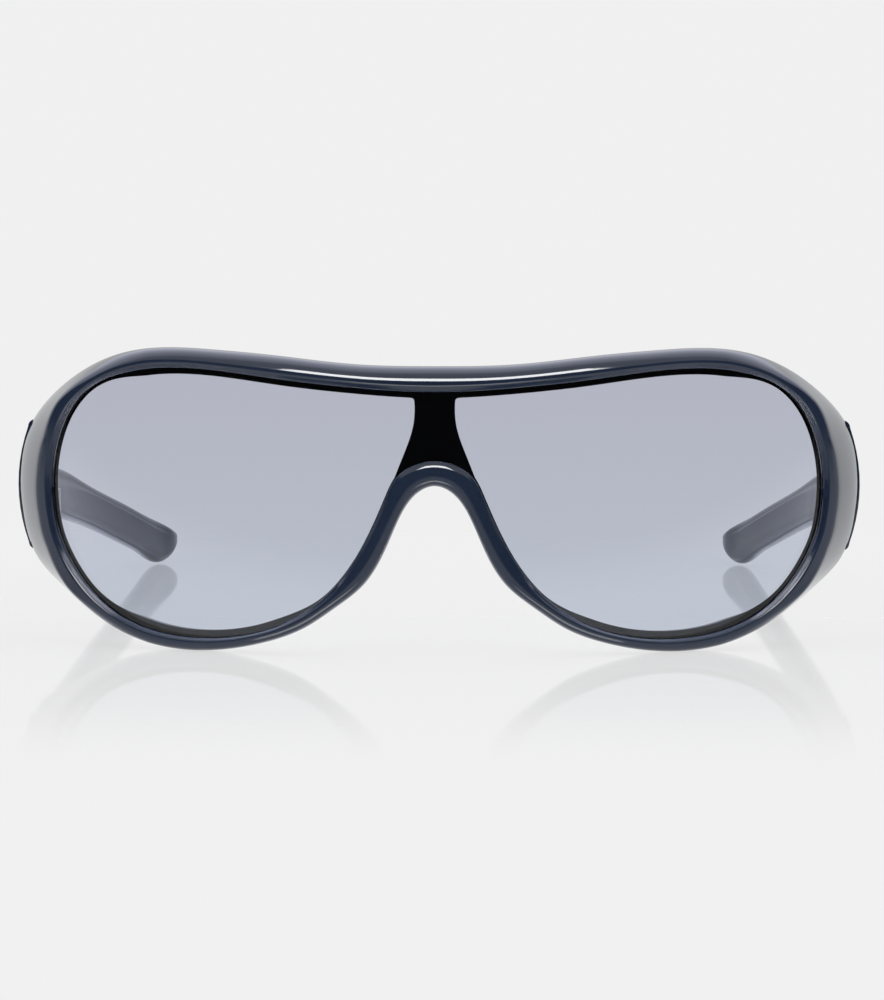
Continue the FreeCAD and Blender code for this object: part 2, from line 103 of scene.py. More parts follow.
# Distance from the butt, outer face across, middle level, height, thickness, height of the rounded edges,
# level of the crease on the inner face
TEMPLE_STATION_SHARES = np.array([
    (0.000, 0.994, 0.501, 0.446, 1.00, 0.26, 0.10),
    (0.058, 0.994, 0.484, 0.349, 1.00, 0.44, 0.10),
    (0.119, 0.993, 0.466, 0.265, 0.98, 0.50, 0.10),
    (0.189, 0.990, 0.445, 0.205, 0.96, 0.46, 0.12),
    (0.381, 0.965, 0.380, 0.171, 0.92, 0.42, 0.26),
    (0.512, 0.935, 0.318, 0.152, 0.88, 0.42, 0.45),
    (0.774, 0.851, 0.175, 0.146, 0.81, 0.44, 0.46),
    (0.861, 0.819, 0.120, 0.150, 0.80, 0.46, 0.46),
    (0.921, 0.794, 0.083, 0.154, 0.79, 0.48, 0.44),
    (0.968, 0.771, 0.074, 0.106, 0.75, 0.46, 0.44),
    (1.000, 0.753, 0.079, 0.048, 0.54, 0.34, 0.40),
])


# Smooth curves through stations
def spline_values(marks, gaps, values, bends, low, high, at):
    reach = gaps[low][:, None]
    ahead = (at - marks[low])[:, None]
    behind = reach - ahead
    return (
        (bends[low] * behind ** 3 + bends[high] * ahead ** 3) / (6 * reach)
        + (values[low] / reach - bends[low] * reach / 6) * behind
        + (values[high] / reach - bends[high] * reach / 6) * ahead
    )


def closed_spline(marks, values, period, at):
    count = len(marks)
    here = np.arange(count)
    after = (here + 1) % count
    before = (here - 1) % count
    gaps = np.diff(np.append(marks, marks[0] + period))
    slopes = (values[after] - values) / gaps[:, None]
    matrix = np.zeros((count, count))
    matrix[here, here] = 2 * (gaps + gaps[before])
    matrix[here, after] = gaps
    matrix[here, before] = gaps[before]
    bends = np.linalg.solve(matrix, 6 * (slopes - slopes[before]))
    at = (at - marks[0]) % period + marks[0]
    low = np.clip(np.searchsorted(marks, at, side="right") - 1, 0, count - 1)
    return spline_values(marks, gaps, values, bends, low, after[low], at)


def open_spline(marks, values, at):
    count = len(marks)
    gaps = np.diff(marks)
    slopes = np.diff(values, axis=0) / gaps[:, None]
    matrix = np.eye(count)
    wanted = np.zeros_like(values)
    for row in range(1, count - 1):
        matrix[row, row - 1:row + 2] = gaps[row - 1], 2 * (gaps[row - 1] + gaps[row]), gaps[row]
        wanted[row] = 6 * (slopes[row] - slopes[row - 1])
    bends = np.linalg.solve(matrix, wanted)
    low = np.clip(np.searchsorted(marks, at, side="right") - 1, 0, count - 2)
    return spline_values(marks, gaps, values, bends, low, low + 1, at)


# Points and blends
REACH_LIMIT = 0.45


def length_of(vectors):
    return np.linalg.norm(vectors, axis=-1, keepdims=True)


def mixed(first, second, share):
    return first + (second - first) * share


def smooth_share(values, limits):
    # rises smoothly from 0 at the first limit to 1 at the second
    start, end = limits
    share = np.clip((values - start) / (end - start), 0.0, 1.0)
    return (share * share * (3 - 2 * share))[:, None]


def toward(start, end, reach):
    # a point at that distance on the way, at most a little before the middle
    return mixed(start, end, np.minimum(reach / length_of(end - start), REACH_LIMIT))


def curve_point(start, corner, end, share):
    return start * (1 - share) ** 2 + corner * 2 * share * (1 - share) + end * share ** 2


def bend(start, corner, end, steps):
    # points of a soft bend in place of a corner
    return [curve_point(start, corner, end, share) for share in np.linspace(0.0, 1.0, steps + 1)]


def between(start, end, shares):
    return [mixed(start, end, share) for share in shares]


# Meshes
WELD_M = 1e-7
CUT_WELD_M = 1e-8
SHARP_DEGREES = 38.0
ROUND_STEPS = (1.0, 0.55, 0.25, 0.07, 0.0)
CUT_ROUND = 0.3


def new_piece(name, points, faces):
    mesh = bpy.data.meshes.new(name)
    mesh.from_pydata([tuple(point) for point in np.asarray(points) * MM], [], faces)
    piece = bpy.data.objects.new(name, mesh)
    bpy.context.scene.collection.objects.link(piece)
    return piece


def tidy_mesh(piece, sharp_degrees=SHARP_DEGREES):
    shape = bmesh.new()
    shape.from_mesh(piece.data)
    bmesh.ops.remove_doubles(shape, verts=shape.verts, dist=WELD_M)
    bmesh.ops.recalc_face_normals(shape, faces=shape.faces)
    shape.to_mesh(piece.data)
    shape.free()
    piece.data.shade_smooth()
    piece.data.set_sharp_from_angle(angle=math.radians(sharp_degrees))


def grid_faces(rows, columns, closed_rows):
    faces = []
    for row in range(rows if closed_rows else rows - 1):
        here = row * columns
        there = (row + 1) % rows * columns
        for column in range(columns):
            after = (column + 1) % columns
            faces.append((here + column, there + column, there + after, here + after))
    return faces


def cut_end(piece, level, keep_below):
    # cuts a piece square at a Y level, rounds the cut's edge and closes it
    shape = bmesh.new()
    shape.from_mesh(piece.data)
    inward = -1.0 if keep_below else 1.0
    rings = []
    for step in ROUND_STEPS:
        cut = bmesh.ops.bisect_plane(
            shape, geom=shape.verts[:] + shape.edges[:] + shape.faces[:], dist=CUT_WELD_M,
            plane_co=(0.0, (level + inward * step * CUT_ROUND) * MM, 0.0), plane_no=(0.0, -inward, 0.0),
            clear_outer=step == 0.0, clear_inner=False,
        )
        rings.append([item for item in cut["geom_cut"] if isinstance(item, bmesh.types.BMVert)])
    shape.normal_update()
    moves = []
    for step, ring in zip(ROUND_STEPS, rings):
        inset = CUT_ROUND * (1 - math.sqrt(1 - (1 - step) ** 2))
        for vert in ring:
            across = Vector((vert.normal.x, 0.0, vert.normal.z)).normalized()
            moves.append((vert, -across * inset * MM))
    for vert, move in moves:
        vert.co += move
    rim = [edge for edge in shape.edges if edge.is_boundary]
    bmesh.ops.holes_fill(shape, edges=rim, sides=0)
    bmesh.ops.recalc_face_normals(shape, faces=shape.faces)
    shape.to_mesh(piece.data)
    shape.free()


def box_piece(name, low, high):
    corners = [(x, y, z) for x in (low[0], high[0]) for y in (low[1], high[1]) for z in (low[2], high[2])]
    faces = [(0, 1, 3, 2), (4, 6, 7, 5), (0, 4, 5, 1), (2, 3, 7, 6), (0, 2, 6, 4), (1, 5, 7, 3)]
    return new_piece(name, corners, faces)


def carve(piece, tool):
    # takes the tool's form out of the piece and drops the tool
    cut = piece.modifiers.new("carve", "BOOLEAN")
    cut.operation = "DIFFERENCE"
    cut.solver = "MANIFOLD"
    cut.object = tool
    bpy.context.view_layer.update()
    seen = piece.evaluated_get(bpy.context.evaluated_depsgraph_get())
    carved = bpy.data.meshes.new_from_object(seen)
    piece.modifiers.remove(cut)
    old = piece.data
    piece.data = carved
    carved.name = piece.name
    bpy.data.meshes.remove(old)
    tool_mesh = tool.data
    bpy.data.objects.remove(tool)
    bpy.data.meshes.remove(tool_mesh)


# Room for the leaves, and for the knuckles with the screw's head
HINGE_ROOMS = (
    (np.array([-KNUCKLE_ROOM, -LEAF_REACH, -HINGE_HEIGHT / 2 - LEAF_CLEARANCE]),
     np.array([LEAF_BACK, LEAF_REACH, HINGE_HEIGHT / 2 + LEAF_CLEARANCE])),
    (np.array([-KNUCKLE_ROOM, -KNUCKLE_ROOM, -HINGE_HEIGHT / 2 - PIN_HEAD_ROOM]),
     np.array([KNUCKLE_ROOM, KNUCKLE_ROOM, HINGE_HEIGHT / 2 + PIN_HEAD_ROOM])),
)


def carve_hinge(piece, side):
    for low, high in HINGE_ROOMS:
        ends = np.array([HINGE + low, HINGE + high])
        ends[:, 0] *= side
        carve(piece, box_piece("room", ends.min(axis=0), ends.max(axis=0)))


def dress(piece, material):
    piece.data.materials.clear()
    piece.data.materials.append(material)


def put(piece, body, node, material):
    dress(piece, material)
    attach(piece, body)
    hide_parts(node)


# Shader nodes
def new_material(name):
    material = bpy.data.materials.new(name)
    material.use_nodes = True
    tree = material.node_tree
    return material, tree, tree.nodes["Principled BSDF"]


def add(tree, kind, links=None, **settings):
    node = tree.nodes.new(kind)
    for key, value in settings.items():
        setattr(node, key, value)
    for socket, value in (links or {}).items():
        if isinstance(value, bpy.types.NodeSocket):
            tree.links.new(value, node.inputs[socket])
        else:
            node.inputs[socket].default_value = value
    return node


def noise(tree, coordinates, scale, detail):
    links = {"Vector": coordinates, "Scale": scale, "Detail": detail}
    return add(tree, "ShaderNodeTexNoise", links).outputs["Fac"]


def spread(tree, value, low, high, from_low=0.3, from_high=0.7):
    links = {"Value": value, "From Min": from_low, "From Max": from_high, "To Min": low, "To Max": high}
    return add(tree, "ShaderNodeMapRange", links).outputs["Result"]


def fade(tree, value, limits, to_high=1.0):
    # rises smoothly from 0 at the first limit to a value at the second
    links = {"Value": value, "From Min": limits[0], "From Max": limits[1], "To Min": 0.0, "To Max": to_high}
    return add(tree, "ShaderNodeMapRange", links, interpolation_type="SMOOTHSTEP").outputs["Result"]


def calculate(tree, kind, first, second=0.0):
    return add(tree, "ShaderNodeMath", {0: first, 1: second}, operation=kind).outputs["Value"]


def axis_of(tree, vector, axis):
    return add(tree, "ShaderNodeSeparateXYZ", {"Vector": vector}).outputs[axis]


def blend_colours(tree, share, first, second):
    mix = add(tree, "ShaderNodeMix", {"Factor": share}, data_type="RGBA")
    ends = [socket for socket in mix.inputs if socket.type == "RGBA"]
    ends[0].default_value = (*first, 1.0)
    ends[1].default_value = (*second, 1.0)
    return [socket for socket in mix.outputs if socket.type == "RGBA"][0]


def bumped(tree, shader, height, strength, distance):
    bump = add(tree, "ShaderNodeBump", {"Height": height, "Strength": strength, "Distance": distance})
    tree.links.new(bump.outputs["Normal"], shader.inputs["Normal"])


# Materials
PLASTIC_IOR = 1.5


def polished_navy(name, inner_sheen, waves):
    # dyed nylon, polished outside, with a slight swirl in the dye and faint hand marks in the polish
    material, tree, shader = new_material(name)
    coordinates = add(tree, "ShaderNodeTexCoord")
    place = coordinates.outputs["Object"]
    swirl = spread(tree, noise(tree, place, 60.0, 3.0), 0.0, 1.0)
    polish = spread(tree, noise(tree, place, 900.0, 4.0), 0.05, 0.085)
    dye = blend_colours(tree, swirl, (0.012, 0.020, 0.040), (0.016, 0.025, 0.048))
    tree.links.new(dye, shader.inputs["Base Color"])
    tree.links.new(polish, shader.inputs["Roughness"])
    shader.inputs["IOR"].default_value = PLASTIC_IOR
    # the side towards the head has its own sheen
    across = axis_of(tree, place, "X")
    facing = axis_of(tree, coordinates.outputs["Normal"], "X")
    outward = calculate(tree, "MULTIPLY", across, facing)
    tree.links.new(spread(tree, outward, inner_sheen, 0.5, -0.03, 0.0), shader.inputs["Specular IOR Level"])
    if waves:
        bumped(tree, shader, noise(tree, place, 110.0, 1.0), waves, 0.0002)
    return material


def tinted_lens():
    # the tint is deeper towards the brow
    material, tree, shader = new_material("lens_tint")
    place = add(tree, "ShaderNodeTexCoord").outputs["Object"]
    share = spread(tree, axis_of(tree, place, "Z"), 0.0, 1.0, 0.002, 0.049)
    tint = blend_colours(tree, share, (0.600, 0.652, 0.745), (0.556, 0.570, 0.665))
    haze = spread(tree, noise(tree, place, 1500.0, 2.0), 0.0, 0.012)
    tree.links.new(tint, shader.inputs["Base Color"])
    tree.links.new(haze, shader.inputs["Roughness"])
    shader.inputs["IOR"].default_value = PLASTIC_IOR
    shader.inputs["Transmission Weight"].default_value = 1.0
    # light that falls through it is only tinted
    clear = add(tree, "ShaderNodeBsdfTransparent", {"Color": tint})
    shadow = add(tree, "ShaderNodeLightPath").outputs["Is Shadow Ray"]
    pick = add(tree, "ShaderNodeMixShader", {0: shadow, 1: shader.outputs["BSDF"], 2: clear.outputs["BSDF"]})
    tree.links.new(pick.outputs["Shader"], tree.nodes["Material Output"].inputs["Surface"])
    return material


def carrier_black():
    material, tree, shader = new_material("carrier_black")
    grain = noise(tree, add(tree, "ShaderNodeTexCoord").outputs["Object"], 4000.0, 3.0)
    tone = spread(tree, grain, 0.0, 1.0)
    ink = blend_colours(tree, tone, (0.0004, 0.0005, 0.0009), (0.0008, 0.0010, 0.0016))
    tree.links.new(ink, shader.inputs["Base Color"])
    tree.links.new(spread(tree, grain, 0.09, 0.15), shader.inputs["Roughness"])
    bumped(tree, shader, grain, 0.02, 0.00002)
    return material


def brushed_steel(name):
    material, tree, shader = new_material(name)
    place = add(tree, "ShaderNodeTexCoord").outputs["Object"]
    drawn = add(tree, "ShaderNodeMapping", {"Vector": place, "Scale": (1.0, 1.0, 0.06)}).outputs["Vector"]
    strokes = noise(tree, drawn, 6000.0, 4.0)
    tone = spread(tree, strokes, 0.0, 1.0)
    steel = blend_colours(tree, tone, (0.50, 0.50, 0.52), (0.62, 0.62, 0.63))
    tree.links.new(steel, shader.inputs["Base Color"])
    tree.links.new(spread(tree, strokes, 0.2, 0.34), shader.inputs["Roughness"])
    shader.inputs["Metallic"].default_value = 1.0
    bumped(tree, shader, strokes, 0.12, 0.00002)
    return material


frame_navy = polished_navy("frame_navy", 0.5, 0.01)
temple_navy = polished_navy("temple_navy", 0.12, 0.0)
hinge_metal = brushed_steel("hinge_metal")
core_metal = brushed_steel("core_metal")


# The wrap that front, lens and border follow, and the ring of stations round the eyes
def wrap_point(across, up, depth=0.0):
    # on the upright cylinder that the front follows, or square to it at a depth
    turn = np.arcsin(across / WRAP_RADIUS)
    radius = WRAP_RADIUS - depth
    return np.stack([radius * np.sin(turn), FRONT_LINE + WRAP_RADIUS - radius * np.cos(turn), up], axis=-1)


def wrap_inward(across):
    turn = np.arcsin(across / WRAP_RADIUS)
    return np.stack([-np.sin(turn), np.cos(turn), np.zeros_like(turn)], axis=-1)


left_stations = FRONT_STATION_SHARES[-2:0:-1] * np.array([-1, 1, -1, 1, 1, 1])
ring_scale = np.array([HALF_WIDTH, FRONT_HEIGHT, HALF_WIDTH, FRONT_HEIGHT, 1.0, 1.0])
ring_stations = np.concatenate([FRONT_STATION_SHARES, left_stations]) * ring_scale
middle_line = (ring_stations[:, 0:2] + ring_stations[:, 2:4]) / 2
station_gaps = length_of(np.roll(middle_line, -1, axis=0) - middle_line)[:, 0]
ring_marks = np.concatenate([[0.0], np.cumsum(station_gaps)[:-1]])
ring_length = station_gaps.sum()
FINE_STEPS = 8


def ring_rows(count):
    # evenly spaced rows round the front
    fine = np.linspace(0.0, ring_length, FINE_STEPS * count + 1)
    rows = closed_spline(ring_marks, ring_stations, ring_length, fine)
    edge = (rows[:, 0:2] + rows[:, 2:4]) / 2
    run = np.concatenate([[0.0], np.cumsum(length_of(np.diff(edge, axis=0))[:, 0])])
    at = np.interp(np.arange(count) * run[-1] / count, run, fine)
    return closed_spline(ring_marks, ring_stations, ring_length, at)


def way_out(rows):
    # from the window edge to the outer edge
    outward = rows[:, 2:4] - rows[:, 0:2]
    return outward / length_of(outward)


def window_moved(rows, lap):
    # the window edge moved outwards under the rim
    return rows[:, 0:2] + way_out(rows) * lap


# Front: its rim rolls round to the back, lower down and at the nose in a tighter bend
FRONT_SECTIONS = 720
ROLL_SHARE = 0.6
LOW_ROLL_SHARE = 0.82
NOSE_ROLL_SHARE = 0.98
BEND_REACH = 2.1
LOW_BEND_REACH = 1.4
NOSE_BEND_REACH = 0.7
LOW_LEVELS = (40.0, 34.0)
NOSE_ACROSS = (22.0, 11.0)
NOSE_TOP = 36.0
ROLL_POINTS = 18
ROLL_START = 0.11
NOSE_ROLL_DELAY = 0.2
ROLL_END = 0.92
ROLL_LEAD = 0.04
BACK_ROUND_START = 0.95
# the end pieces have a bevel, an edge and a long rounded flank, and step in at the seam
END_SHARES = (0.02, 0.45)
BEAD_SHARE = 0.68
END_FLANK_SHARES = np.array([0.96, 0.76, 0.6])
END_EDGE_REACH = 0.7
EDGE_START = 0.3
FLANK_START = 0.5
SEAM_STEP = 0.7
BACK_SOFTNESS = 0.02
# the lip leaves more of the black border free at the sides and below
SIDE_LIP_SHIFT = 0.55
SIDE_LIP_ACROSS = (52.0, 62.0)
LOW_LIP_SHIFT = 0.4
LOW_LIP_ACROSS = (20.0, 28.0)
LOW_LIP_LEVELS = (26.0, 18.0)
LIP_ROUND = 0.16
# the crest runs close to the lip and is rounder at the nose
CREST_SHARE = 0.28
NOSE_CREST_SHARE = 0.26
CREST_MARGIN = 0.15
CREST_ROUND = 0.28
NOSE_CREST_ROUND = 0.45
# the inner edge of the back
BACK_ROUND = 0.5
INNER_INSET = 0.25
INNER_ROUND = 0.3
SLIDE_SHARES = (0.2, 1.0)
WALL_SHARES = np.linspace(0.05, 1.0, 20)
PARALLEL = 1e-6
NEVER = 1e6


def back_edge(rows, outer):
    # the back never dips in front of the rim's own depth
    share = (rows[:, 4] + np.sqrt(rows[:, 4] ** 2 + BACK_SOFTNESS ** 2) - BACK_SOFTNESS) / 2
    rim_back = outer[:, 1] + RIM_DEPTH
    back = outer.copy()
    back[:, 1] = mixed(rim_back, SEAM_Y + SEAM_OVERRUN, share)
    tightness = np.clip(share, 0.0, 1.0)[:, None]
    back[:, 0:1] -= np.sign(back[:, 0:1]) * SEAM_STEP * tightness
    return back, tightness


def lens_seat(rows, inner, back):
    # the seat runs square to the wrap, out through the back or through the inner wall
    edge = window_moved(rows, SEAT_LAP)
    corner = wrap_point(edge[:, 0], edge[:, 1], SEAT_DEPTH)
    way = wrap_inward(edge[:, 0])
    wall_top = wrap_point(rows[:, 0], rows[:, 1], LIP_DEPTH)
    outward = way_out(rows)

    def offset(points):
        return (points[:, [0, 2]] * outward).sum(axis=1)

    wall_slope = (offset(inner) - offset(wall_top)) / (inner[:, 1] - wall_top[:, 1])
    closing = wall_slope * way[:, 1] - offset(way)
    spare = offset(corner) - offset(wall_top) - wall_slope * (corner[:, 1] - wall_top[:, 1])
    to_back = (back[:, 1] - corner[:, 1]) / way[:, 1]
    to_wall = np.where(closing > PARALLEL, spare / np.maximum(closing, PARALLEL), NEVER)
    end = corner + way * np.minimum(to_wall, to_back)[:, None]
    # the inner edge of the back slides along the ring to where the seat leaves the back
    along = np.stack([-outward[:, 1], np.zeros(len(rows)), outward[:, 0]], axis=-1)
    slide = ((end - inner) * along).sum(axis=1, keepdims=True) * smooth_share(to_wall / to_back, SLIDE_SHARES)
    inner_edge = np.where((to_wall > to_back)[:, None], end, inner + along * slide)
    inner_edge = inner_edge + (back - inner_edge) * (INNER_INSET / length_of(back - inner_edge))
    return corner, end, inner_edge


def outer_roll(crest, bead, back, up, nose, tightness):
    # gives the points at a share of the way from the crest over the outside to the back
    lower = smooth_share(up, LOW_LEVELS)
    roll_share = mixed(mixed(ROLL_SHARE, LOW_ROLL_SHARE, lower), NOSE_ROLL_SHARE, nose)
    bend_reach = mixed(mixed(BEND_REACH, LOW_BEND_REACH, lower), NOSE_BEND_REACH, nose)
    first = mixed(crest, bead, roll_share)
    second = mixed(bead, back, bend_reach / length_of(back - bead))
    flank = mixed(bead, back, END_FLANK_SHARES)
    bevel_end = toward(bead, crest, END_EDGE_REACH)
    flank_start = toward(bead, flank, END_EDGE_REACH)
    end_part = smooth_share(tightness[:, 0], END_SHARES)

    def roll(share):
        rest = 1 - share
        rim = crest * rest ** 3 + first * 3 * share * rest ** 2
        rim = rim + second * 3 * share * share * rest + back * share ** 3
        bevel = mixed(crest, bevel_end, share / EDGE_START)
        edge = curve_point(bevel_end, bead, flank_start, (share - EDGE_START) / (FLANK_START - EDGE_START))
        side = curve_point(flank_start, flank, back, (share - FLANK_START) / (1 - FLANK_START))
        end = np.where(share < EDGE_START, bevel, np.where(share < FLANK_START, edge, side))
        return mixed(rim, end, end_part)

    return roll


def front_points(rows):
    # sections from the lip over the crest and round the back to the lens seat
    across = np.abs(rows[:, 0])
    up = rows[:, 1]
    window = wrap_point(rows[:, 0], rows[:, 1])
    outer = wrap_point(rows[:, 2], rows[:, 3])
    back, tightness = back_edge(rows, outer)
    # the rim keeps the width of a bead where the back runs on to the seam
    bead = outer + (window - outer) * BEAD_SHARE * np.sqrt(tightness)
    side_part = smooth_share(across, SIDE_LIP_ACROSS)
    low_part = smooth_share(across, LOW_LIP_ACROSS) * smooth_share(up, LOW_LIP_LEVELS)
    lip_shift = SIDE_LIP_SHIFT * side_part + LOW_LIP_SHIFT * low_part * (1 - side_part)
    lip_edge = window_moved(rows, lip_shift)
    lip = wrap_point(lip_edge[:, 0], lip_edge[:, 1], LIP_DEPTH)
    seat_floor = wrap_point(lip_edge[:, 0], lip_edge[:, 1], SEAT_DEPTH)
    nose = smooth_share(across, NOSE_ACROSS) * (up < NOSE_TOP)[:, None]
    crest_share = mixed(CREST_SHARE, NOSE_CREST_SHARE, nose)
    crest_share = np.maximum(crest_share, (lip_shift + CREST_MARGIN) / length_of(bead - window))
    crest = mixed(window, bead, crest_share)
    inner = mixed(outer, window, np.minimum(rows[:, 5:6], 1.0))
    inner[:, 1] = back[:, 1]
    seat_corner, seat_end, inner_edge = lens_seat(rows, inner, back)
    roll = outer_roll(crest, bead, back, up, nose, tightness)
    roll_start = ROLL_START + NOSE_ROLL_DELAY * nose
    crest_reach = CREST_ROUND + NOSE_CREST_ROUND * nose

    lip_bend = bend(toward(lip, seat_floor, LIP_ROUND), lip, toward(lip, crest, LIP_ROUND), 3)
    crest_bend = bend(toward(crest, lip, crest_reach), crest, roll(roll_start - ROLL_LEAD), 4)
    back_bend = bend(roll(np.array(BACK_ROUND_START)), back, toward(back, inner_edge, BACK_ROUND), 4)
    inner_bend = bend(
        toward(inner_edge, back, INNER_ROUND), inner_edge, toward(inner_edge, seat_end, INNER_ROUND), 3)
    section = lip_bend + between(lip_bend[-1], crest_bend[0], (0.12, 0.5, 0.88)) + crest_bend
    section += [roll(mixed(roll_start, ROLL_END, share)) for share in np.linspace(0.0, 1.0, ROLL_POINTS)]
    section += back_bend + between(back_bend[-1], inner_bend[0], (0.15, 0.5, 0.85))
    section += inner_bend + between(inner_bend[-1], seat_end, WALL_SHARES)
    section += between(seat_end, seat_corner, (0.5, 1.0)) + between(seat_corner, seat_floor, (0.5, 1.0))
    return np.stack(section, axis=1)


front_grid = front_points(ring_rows(FRONT_SECTIONS))
# as high as the solid, a hair inside it
solid_levels = np.array(nodes["front_frame"].bound_box)[:, 2] / MM
lowest = solid_levels.min() + FRONT_SKIN
stretch = (solid_levels.max() - FRONT_SKIN - lowest) / np.ptp(front_grid[:, :, 2])
front_grid[:, :, 2] = lowest + (front_grid[:, :, 2] - front_grid[:, :, 2].min()) * stretch
front_faces = grid_faces(FRONT_SECTIONS, front_grid.shape[1], True)
front = new_piece("front_shell", front_grid.reshape(-1, 3), front_faces)
tidy_mesh(front)
cut_end(front, SEAM_Y, True)
for side in (1, -1):
    carve_hinge(front, side)
tidy_mesh(front)
put(front, "front", "front_frame", frame_navy)

# Lens
LENS_COLUMNS = 200
LENS_ROWS = 12
EDGE_ROWS = 1440
lens_edge = window_moved(ring_rows(EDGE_ROWS), LENS_LAP)


def lens_points():
    # columns across the lens, each up its front face and down its back face
    right_end = np.argmax(lens_edge[:, 0])
    left_end = np.argmin(lens_edge[:, 0])
    lower_edge = lens_edge[right_end:left_end + 1]
    upper_edge = np.concatenate([lens_edge[left_end:], lens_edge[:right_end + 1]])
    turns = np.linspace(-math.pi / 2, math.pi / 2, LENS_COLUMNS + 1)
    columns = lens_edge[right_end, 0] * np.sin(turns)
    high = np.interp(columns, upper_edge[:, 0], upper_edge[:, 1])
    low = np.interp(columns, lower_edge[::-1, 0], lower_edge[::-1, 1])
    levels = mixed(low[:, None], high[:, None], np.linspace(0.0, 1.0, LENS_ROWS + 1))
    across = np.repeat(columns[:, None], LENS_ROWS + 1, axis=1)
    front_face = wrap_point(across, levels, LENS_DEPTH)
    back_face = wrap_point(across, levels, LENS_DEPTH + LENS_THICKNESS)
    return np.concatenate([front_face, back_face[:, ::-1]], axis=1)


lens_faces = grid_faces(LENS_COLUMNS + 1, 2 * (LENS_ROWS + 1), False)
lens = new_piece("tinted_shield", lens_points().reshape(-1, 3), lens_faces)
tidy_mesh(lens)
put(lens, "front", "shield_lens", tinted_lens())

# Black border behind the lens with the strut over the nose. Its widths count from the window edge inwards,
# and its back is narrower at the sides, so that its inner wall doesn't show through the lens.
TOP_BORDER = 1.2
LOW_BORDER = 0.8
NOSE_BORDER = 0.25
SIDE_BORDER = -0.2
SIDE_BACK_BORDER = -0.85
SIDE_BORDER_ACROSS = (50.0, 61.0)
NOSE_BORDER_ACROSS = (28.0, 18.0)
STRUT_CORNER = 0.7
STRUT_POINTS = 25
# how many corner lengths brow and strut keep free for their rounded corner
BROW_SPARE = 1.3
STRUT_SPARE = 1.1
# level and half width of the strut
STRUT_SIDE_SHARES = np.array([
    (0.590, 0.0935), (0.625, 0.0838), (0.686, 0.0665), (0.735, 0.0545), (0.776, 0.0485), (0.847, 0.0476),
])
INSIDE_MODE = 1
TRIANGULATION_TOLERANCE = 1e-6


def eye_loop(rows, side_border):
    # the opening on the right: round the rim, then up the strut
    across = rows[:, 0]
    brow_end = np.argmax(across)
    below = np.arange(len(rows)) >= brow_end
    low_border = mixed(LOW_BORDER, NOSE_BORDER, smooth_share(across, NOSE_BORDER_ACROSS))
    border = np.where(below[:, None], low_border, TOP_BORDER)
    edge = window_moved(rows, -mixed(border, side_border, smooth_share(across, SIDE_BORDER_ACROSS)))
    foot = STRUT_SIDE_SHARES[0, 0] * FRONT_HEIGHT
    strut_x = STRUT_SIDE_SHARES[-1, 1] * HALF_WIDTH
    on_brow = ~below & (edge[:, 0] > strut_x + BROW_SPARE * STRUT_CORNER)
    round_rim = edge[on_brow | (below & (edge[:, 1] < foot))]
    top = np.interp(strut_x, edge[:brow_end, 0], edge[:brow_end, 1])
    shares = np.linspace(STRUT_SIDE_SHARES[0, 0], STRUT_SIDE_SHARES[-1, 0], STRUT_POINTS)[1:]
    strut = open_spline(STRUT_SIDE_SHARES[:, 0], STRUT_SIDE_SHARES[:, 1:], shares)
    strut = np.stack([strut[:, 0] * HALF_WIDTH, shares * FRONT_HEIGHT], axis=-1)
    strut = strut[strut[:, 1] < top - STRUT_SPARE * STRUT_CORNER]
    corner = np.array([strut_x, top])
    turn = bend(corner - np.array([0.0, STRUT_CORNER]), corner, corner + np.array([STRUT_CORNER, 0.0]), 6)
    return np.concatenate([round_rim, strut, turn])


def border_outlines(side_border):
    eye = eye_loop(ring_rows(EDGE_ROWS)[:EDGE_ROWS // 2 + 1], side_border)
    return [lens_edge[::-1], eye[::-1], eye * np.array([-1, 1])]


def border_mesh():
    # the plate between the outlines, in front and behind, and the walls along each outline
    loops = border_outlines(SIDE_BORDER)
    starts = np.cumsum([0] + [len(loop) for loop in loops])
    outlines = [list(range(start, end)) for start, end in zip(starts[:-1], starts[1:])]
    flat = np.concatenate(loops)
    flat_back = np.concatenate(border_outlines(SIDE_BACK_BORDER))
    places = [Vector(point) for point in flat]
    filled = delaunay_2d_cdt(places, [], outlines, INSIDE_MODE, TRIANGULATION_TOLERANCE)
    triangles, origins = filled[2], filled[5]
    plate = [tuple(face) for face, origin in zip(triangles, origins) if origin == [0]]
    faces = plate + [tuple(index + len(flat) for index in face[::-1]) for face in plate]
    for outline in outlines:
        for here, there in zip(outline, outline[1:] + outline[:1]):
            faces.append((here, there, there + len(flat), here + len(flat)))
    front_face = wrap_point(flat[:, 0], flat[:, 1], CARRIER_DEPTH)
    back_face = wrap_point(flat_back[:, 0], flat_back[:, 1], CARRIER_DEPTH + CARRIER_THICKNESS)
    return np.concatenate([front_face, back_face]), faces


carrier = new_piece("black_border", *border_mesh())
tidy_mesh(carrier)
put(carrier, "front", "lens_carrier", carrier_black())

# Temples
TEMPLE_SECTIONS = 200
TIP_SECTIONS = 14
TIP_TURN = math.radians(86.0)
TIP_RADIUS = 1.0
BUTT_OVERRUN = 1.0
CROWN_RADIUS = 29.5
EDGE_LIMIT = 0.98
EDGE_STEPS = 10
FACE_STEPS = 10
LEAN_SHARE = 0.28


